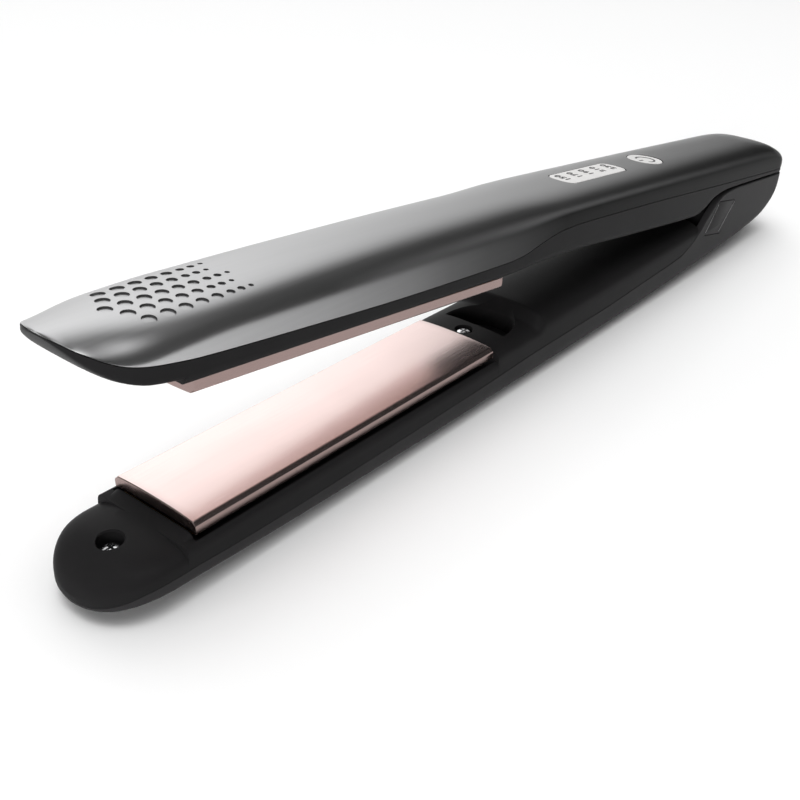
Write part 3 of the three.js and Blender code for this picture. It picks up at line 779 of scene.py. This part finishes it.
# ---- lower arm ---------------------------------------------------------------------------
def build_lower_cover():
    breaks = (-21, -18, -16, -14, -12, -10.5, -9, -7.5, -6, -4, -2, 0, 2, 4, 6, 8.5, 11)
    xs = stations(LOWER_ENDS, 3.0, breaks)

    def ring_at(x):
        top, bottom = lower_seam(x), lower_bottom(x)
        half = half_width(x, LOWER_ENDS)
        base = min(top - 0.02, bottom + LOWER_SIDE_HEIGHT)
        lip = min(LIP, half / 3, (top - base) / 2)
        sides = arch(half, base, bottom - base, 49)
        return [(-half + lip, top), (-half, top - lip), *sides, (half, top - lip), (half - lip, top)]

    def hollow_at(x):
        bottom = lower_bottom(x) + COVER_WALL
        half = half_width(x, LOWER_ENDS) - LOWER_WALL
        base = min(lower_seam(x) - 0.5, bottom + LOWER_SIDE_HEIGHT - 1)
        return [(-half, 14), *arch(half, base, bottom - base, 25), (half, 14)]

    inner = [-246, -243.5, *np.arange(-240, -24, 6), -20, -14, -8, 0, 10, 21, 30, 36, 40, 43, 46, 48, 50]
    return carve(
        loft(xs, ring_at),
        loft(inner, hollow_at),
        rod(2.3, (PIVOT.x, -20, PIVOT.z), "Y", 40),
        rod(5.1, (40, 0, INLET_Z), "X", 22),
        prism_y(cap_outline(0.22), 13.45, 20),
        prism_y(cap_outline(0.22), -20, -13.45),
    )


def arch_pocket():
    """The recess behind the rear block, whose rear end is an arch seen from above."""
    def ring_at(z, more, half):
        ring = [(BLOCK_REAR, half, z), (BLOCK_REAR, -half, z)]
        for k in range(37):
            y = -half * math.cos(math.pi * k / 36)
            bow = max(0.0, 1 - abs(y / half) ** 2.2) ** (1 / 2.2)
            ring.append((BLOCK_REAR + 0.4 + (ARCH_DEPTH + more) * bow, y, z))
        return ring

    levels = [(-6.4, -0.9, -0.6), (-1.9, -0.3, -0.25), (-1.5, -0.1, -0.1), (-0.9, 0.5, 0.35), (3.0, 2.0, 1.5)]
    return skin([ring_at(z, more, ARCH_HALF + wider) for z, more, wider in levels])


def cheek_cut(y0, y1):
    places = np.arange(-27, -5.9, 1.5)
    edge = [(x - SEAM_GAP, lower_seam(x) + SEAM_GAP) for x in places]
    return prism_y([(0, -20), (0, 6), *reversed(edge), (-27 - SEAM_GAP, -20)], y0, y1)


def handle_crest(x):
    """Top of the lower shell behind the plate: level with the rear block, then up to the handle."""
    return BLOCK_TOP + (lower_rim(x) + CREST_HEIGHT - BLOCK_TOP) * ease(x, -107.6, -103.2)


def build_lower_shell():
    block_front = PLATE_REAR + 0.35
    breaks = (-230.9, -230.75, block_front - 0.1, block_front, *np.arange(-108, -102.5, 0.5), -26, -24)
    xs = [x for x in stations(LOWER_ENDS, 3.0, breaks) if x < -11.5] + [-11]

    def ring_at(x):
        half = half_width(x, LOWER_ENDS)
        joint = lower_seam(min(x, -26)) + SEAM_GAP
        if x < -230.8:
            return nose_ring(half, joint, lower_nose_face(x), 0.04, 2.9, 3.1)
        if x < block_front - 0.05:
            return shell_ring(half, joint, lower_rim(x))
        base = lower_rim(x) - 1
        return [(-half, joint), *arch(half, base, handle_crest(x) - base, 40), (half, joint)]

    def cavity_at(x):
        crown = lower_rim(x) + CREST_HEIGHT - 2
        return [(-12.2, -12), (-12.2, -6), (-9, crown - 0.6), (0, crown), (9, crown - 0.6),
                (12.2, -6), (12.2, -12)]

    body = carve(loft(xs, ring_at), trough(-1), loft([-98, -80, -60, -40, -24, -5], cavity_at), arch_pocket())
    return carve(
        fuse(body, ramp(-1)),
        *[rod(2.5, (x, 0, -12), "Z", 7) for x in POST_X],
        counterbore(NOSE_SCREW_X, -1, -lower_nose_face(NOSE_SCREW_X), 7.8, 2.85),
        counterbore(BLOCK_SCREW_X, -1, -BLOCK_TOP, 3.2, 2.3),
        cheek_cut(CHEEK_INNER - 0.3, 20),
        cheek_cut(-20, -CHEEK_INNER + 0.3),
    )


def cap_outline(grow):
    """The slanted cover over an end of the hinge pin: straight top and bottom, bowed sides."""
    centre = Vector((PIVOT.x + 0.4, PIVOT.z - 0.3))
    along, across = Vector((12.0, -2.5)), Vector((7.6, 9.8))
    a = 0.5 + grow / along.length
    b = 0.5 + grow / across.length
    points = []
    for side in (1, -1):
        for k in range(9):
            t = -1 + k / 4
            bow = 0.35 * (1 - t * t) / along.length
            spot = centre + side * (a + bow * (1 if side > 0 else -1)) * along + side * t * b * across
            points.append((spot.x, spot.y))
    return points


def build_cap(side):
    """A hinge cap with rounded edges."""
    face, back, edge = 14.32, 13.75, 0.12
    loops = []
    for depth, inset in ((back, 0.0), (face - edge, 0.0), (face - 0.3 * edge, 0.05), (face, edge)):
        loops.append([(x, side * depth, z) for x, z in cap_outline(-inset)])
    return skin(loops)


def build_cap_highlight_strips(side):
    """Two fine light metal strips let into the cap along its slanted edges: painted highlights that stand in
    for the light the edges catch.
    """
    thick = 0.16
    strips = []
    for top, foot in (((-0.1, 5.6), (-6.8, -2.4)), ((13.0, 3.3), (3.9, -4.9))):
        start, end = Vector(top), Vector(foot)
        run = (end - start).normalized() * thick / 2
        aside = Vector((-run.y, run.x))
        corners = [start - aside, start - run, start + aside, end + aside, end + run, end - aside]
        y0, y1 = sorted((side * 14.2, side * 14.39))
        strips.append(prism_y([(point.x, point.y) for point in corners], y0, y1))
    return gather(strips)


# ---- both arms ---------------------------------------------------------------------------
def build_plate(sign):
    """A folded plate: rolled long edges, bent ends, open underneath."""
    def drop(x):
        """How far the face falls where the plate bends down at its two ends."""
        near = min(x - PLATE_FRONT, PLATE_REAR - x)
        return PLATE_BEND - math.sqrt(max(0.0, PLATE_BEND ** 2 - max(0.0, PLATE_BEND - near) ** 2))

    bend = [PLATE_BEND * (1 - math.cos(math.pi / 2 * k / 5)) for k in range(6)]
    middle = list(np.linspace(PLATE_FRONT + 2, PLATE_REAR - 2, 30))
    xs = [PLATE_FRONT + b for b in bend] + middle + [PLATE_REAR - b for b in reversed(bend)]
    turns = [PLATE_FOLD_ANGLE * k / 7 for k in range(8)]
    edge = [(PLATE_FOLD * math.sin(a), PLATE_FOLD * (1 - math.cos(a))) for a in turns]
    edge += [(PLATE_OUT - 0.08, 0.8), (PLATE_OUT, 1.25), (PLATE_OUT - 0.02, 1.5), (PLATE_OUT - 0.2, 2.9)]
    shoulder = PLATE_HALF - PLATE_OUT

    def ring_at(x):
        face = PLATE_FACE + drop(x)
        right = [(shoulder + out, face + PLATE_CAMBER + down) for out, down in edge]
        across = [2 * (k + 1) / 25 - 1 for k in range(24)]
        flat = [(shoulder * share, face + PLATE_CAMBER * abs(share) ** 2.4) for share in across]
        left = [(-y, z) for y, z in reversed(right)]
        bottom = PLATE_HALF - 0.5
        ring = [(-bottom, PLATE_DEPTH), *left, *flat, *right, (bottom, PLATE_DEPTH)]
        return [(y, sign * z) for y, z in ring]

    inside = block(PLATE_FRONT + PLATE_SKIN, PLATE_REAR - PLATE_SKIN, PLATE_HALF - 1.6 * PLATE_SKIN,
                   sign * (PLATE_FACE + PLATE_SKIN), sign * (PLATE_DEPTH + 1))
    return carve(loft(xs, ring_at), inside)


def build_screw(x, sign, head_face, head_height, radius, tip):
    """A cross-head screw: a domed head, a tapered cross recess and a threaded shank."""
    dome = 0.35
    profile = [(0, -dome)]
    for k in range(1, 7):
        a = math.pi / 2 * k / 6
        profile.append((radius * math.sin(a), -dome * math.cos(a)))
    profile += [(radius, head_height - 0.1), (radius - 0.1, head_height)]
    z = head_height
    length = tip - head_face
    while z < length - 1.2:
        profile += [(0.85, z), (1.1, z + 0.22), (0.85, z + 0.44)]
        z += 0.45
    profile += [(0.8, z), (0.25, length), (0, length)]
    axis = "Z" if sign > 0 else "-Z"
    head = turned(profile, (x, 0, sign * head_face), axis, 40)
    arms = []
    for turn in (0, math.pi / 2):
        half_long, half_thin, depth = 0.66 * radius, 0.15 * radius, 0.85
        top = [(-half_long, -half_thin), (half_long, -half_thin),
               (half_long, half_thin), (-half_long, half_thin)]
        rings = []
        for share, z in ((1.15, -1.0), (1.0, 0.0), (0.45, depth)):
            ring = []
            for px, py in top:
                qx = px * share * math.cos(turn) - py * math.sin(turn)
                qy = px * share * math.sin(turn) + py * math.cos(turn)
                ring.append((x + qx, qy, sign * (head_face + z)))
            rings.append(ring)
        arms.append(skin(rings))
    return carve(head, *arms)


def build_opening_spring():
    """A torsion spring round the hinge pin, with one leg in each arm."""
    wire, coil, turns, sides = 0.5, 3.5, 4.5, 12
    path = [Vector((PIVOT.x + coil, -2.7, PIVOT.z - 10.5))]
    for k in range(int(turns * 24) + 1):
        a = -2 * math.pi * k / 24
        y = -2.7 + 5.4 * k / (turns * 24)
        path.append(Vector((PIVOT.x + coil * math.cos(a), y, PIVOT.z - coil * math.sin(a))))
    path.append(Vector((PIVOT.x - coil, 2.7, PIVOT.z + 5.9)))
    loops = []
    for k, point in enumerate(path):
        before, after = path[max(0, k - 1)], path[min(len(path) - 1, k + 1)]
        run = (after - before).normalized()
        side = run.cross(Vector((0, 1, 0))).normalized()
        other = run.cross(side)
        turns_round = [2 * math.pi * j / sides for j in range(sides)]
        loops.append([tuple(point + wire * (math.cos(a) * side + math.sin(a) * other)) for a in turns_round])
    return skin(loops)


def build_inlet_bush():
    profile = [(3.4, 43.4), (5.2, 43.4), (5.5, 43.7), (5.5, 44.7), (5.2, 45.0), (4.8, 45.1), (4.8, 54.2),
               (4.6, 54.7), (4.2, 55.0), (3.8, 54.9), (3.4, 54.4)]
    sides = 56
    loops = []
    for k in range(sides):
        a = 2 * math.pi * k / sides
        loops.append([(x, r * math.cos(a), INLET_Z + r * math.sin(a)) for r, x in profile])
    loops.append(loops[0])
    bush = skin(loops, capped=False)
    slots = [block(52.6, 58, 0.35, INLET_Z + side * 3.0, INLET_Z + side * 6.0) for side in (1, -1)]
    return carve(bush, *slots)


# ---- pieces ------------------------------------------------------------------------------
place(build_upper_cover(), "upper_cover_shell", UPPER, "upper_arm", COVER,
      ["upper_cover"])
place(build_upper_shell(), "upper_inner_tray", UPPER, "upper_arm", BLACK,
      ["upper_inner_shell"])
place(build_vent_floor(), "vent_floor", UPPER, "upper_arm", COVER, ["vent_insert"])
place(build_display_window(), "display_lens", UPPER, "upper_arm", SILVER, ["display_window"])
place(build_display_numbers(), "display_numbers", UPPER, "upper_arm", PRINT)
place(build_button(), "power_button_cap", UPPER, "power_button", SILVER, ["power_button"])
place(build_power_mark(), "power_button_mark", UPPER, "power_button", PRINT)
place(build_lower_cover(), "lower_cover_shell", LOWER, "lower_arm", DARK_COVER,
      ["lower_cover"])
place(build_lower_shell(), "lower_inner_tray", LOWER, "lower_arm", BLACK,
      ["lower_inner_shell"])
for side, label in ((1, "left"), (-1, "right")):
    # light strips that are painted highlights on the hinge cover's slanted edges
    place(build_cap_highlight_strips(side), f"hinge_cover_painted_highlight_{label}", LOWER, "lower_arm", PAINTED_EDGE_HIGHLIGHT)
    place(build_cap(side), f"hinge_cover_{label}", LOWER, "lower_arm", DARK_COVER,
          [f"hinge_cap_{label}"])
for sign, level, arm in ((1, "upper", UPPER), (-1, "lower", LOWER)):
    place(build_plate(sign), f"{level}_heating_plate", arm, f"{level}_plate_set", ROSE,
          [f"{level}_plate"])
    nose_tip = 9.8 if sign > 0 else 11.5
    rear_head = 5.85 if sign > 0 else 1.65
    screws = (
        ("nose", NOSE_SCREW_X, 6.75, 2.1, nose_tip), ("rear", BLOCK_SCREW_X, rear_head, 1.95, 12.5),
    )
    for label, x, face, radius, tip in screws:
        screw = build_screw(x, sign, face, SCREW_HEAD_HEIGHT, radius, tip)
        place(screw, f"{level}_{label}_cross_screw", arm, f"{level}_arm", STEEL,
              [f"{level}_{label}_screw"])
place(build_opening_spring(), "opening_torsion_spring", LOWER, "lower_arm", SPRING_STEEL,
      ["opening_spring"])
place(build_inlet_bush(), "cord_bush", LOWER, "cord_swivel", BLACK, ["cord_inlet_bush"])

# The CAD's own inner pieces stay, with their finishes.
finishes = {
    "hinge_pin": STEEL, "lower_thermal_fuse": STEEL, "hinge_washer_left": NYLON,
    "hinge_washer_right": NYLON, "cord_inlet_clip": NYLON, "lower_heater": CERAMIC,
    "upper_heater": CERAMIC, "lower_plate_carrier": RESIN, "upper_plate_carrier": RESIN,
    "upper_thermistor": RESIN, "circuit_board": BOARD, "ion_module": BLACK, "button_switch": BLACK,
    "lower_plate_spring_front": SILICONE, "lower_plate_spring_rear": SILICONE,
    "upper_plate_spring_front": SILICONE, "upper_plate_spring_rear": SILICONE,
}
for node, finish in finishes.items():
    inner_mesh = frame["nodes"][node].data
    inner_mesh.materials.clear()
    inner_mesh.materials.append(finish)


# ---- floor, light and camera -------------------------------------------------------------
def build_floor():
    floor = mesh_object([(-4, -4, 0), (4, -4, 0), (4, 4, 0), (-4, 4, 0)], [(0, 1, 2, 3)], "floor")
    floor.location.z = -0.0003
    material, _, shader = new_material("pale_floor")
    shader.inputs["Base Color"].default_value = (0.93, 0.93, 0.93, 1)
    shader.inputs["Roughness"].default_value = 0.9
    shader.inputs["Specular IOR Level"].default_value = 0.1
    floor.data.materials.append(material)


def build_world():
    """Soft studio surround: a broad low glow beyond the far side, a small bright patch above it,
    a lamp-like zenith and a dim rest."""
    world = bpy.data.worlds.new("studio")
    bpy.context.scene.world = world
    world.use_nodes = True
    tree = world.node_tree
    where = tree.nodes.new("ShaderNodeTexCoord")
    total = None
    lobes = (
        ((0.465, 0.879, 0.103), 0.60, 1.0, 1.2),
        ((0.50, 0.65, 0.57), 0.92, 1.0, 0.7),
        ((0.0, 0.0, 1.0), 0.88, 1.0, 3.0),
    )
    for direction, start, end, power in lobes:
        dot = tree.nodes.new("ShaderNodeVectorMath")
        dot.operation = "DOT_PRODUCT"
        dot.inputs[1].default_value = Vector(direction).normalized()
        tree.links.new(where.outputs["Generated"], dot.inputs[0])
        lobe = tree.nodes.new("ShaderNodeMapRange")
        lobe.interpolation_type = "SMOOTHSTEP"
        lobe.inputs["From Min"].default_value = start
        lobe.inputs["From Max"].default_value = end
        lobe.inputs["To Max"].default_value = power
        tree.links.new(dot.outputs["Value"], lobe.inputs["Value"])
        if total is None:
            total = lobe.outputs["Result"]
        else:
            adder = tree.nodes.new("ShaderNodeMath")
            tree.links.new(total, adder.inputs[0])
            tree.links.new(lobe.outputs["Result"], adder.inputs[1])
            total = adder.outputs[0]
    base = tree.nodes.new("ShaderNodeMath")
    base.inputs[1].default_value = 0.04
    tree.links.new(total, base.inputs[0])
    tree.nodes["Background"].inputs["Color"].default_value = (1, 1, 1, 1)
    tree.links.new(base.outputs[0], tree.nodes["Background"].inputs["Strength"])


def area_light(name, place_at, aim, size, power):
    """A soft light that lights surfaces but isn't mirrored in them."""
    light = bpy.data.lights.new(name, "AREA")
    light.shape = "RECTANGLE"
    light.size, light.size_y = size
    light.energy = power
    holder = bpy.data.objects.new(name, light)
    holder.location = place_at
    holder.rotation_euler = (Vector(aim) - Vector(place_at)).to_track_quat("-Z", "Y").to_euler()
    holder.visible_glossy = False
    bpy.context.scene.collection.objects.link(holder)


def build_camera():
    azimuth, elevation, roll = (math.radians(v) for v in (-51.92, 30.47, 2.60))
    back = Vector((math.sin(azimuth) * math.cos(elevation), -math.cos(azimuth) * math.cos(elevation),
                   math.sin(elevation)))
    right = (-back).cross(Vector((0, 0, 1))).normalized()
    up = right.cross(-back)
    across = math.cos(roll) * right + math.sin(roll) * up
    upright = -math.sin(roll) * right + math.cos(roll) * up
    turn = Matrix((across, upright, back)).transposed().to_4x4()
    lens = bpy.data.cameras.new("camera")
    lens.sensor_width = 36.0
    lens.lens = 49.22
    lens.clip_start = 0.01
    camera = bpy.data.objects.new("camera", lens)
    camera.matrix_world = Matrix.Translation(LOWER @ Vector((-337.7, -148.2, 129.8))) @ turn
    bpy.context.scene.collection.objects.link(camera)
    bpy.context.scene.camera = camera


build_floor()
build_world()
area_light("top_softbox", (-0.10, 0.0, 1.60), (-0.10, 0, 0.02), (2.4, 2.4), 25.0)
area_light("front_softbox", (-0.95, -0.35, 0.25), (0, 0, 0.02), (0.5, 0.3), 4.0)
build_camera()
bpy.context.scene.view_settings.view_transform = "Standard"
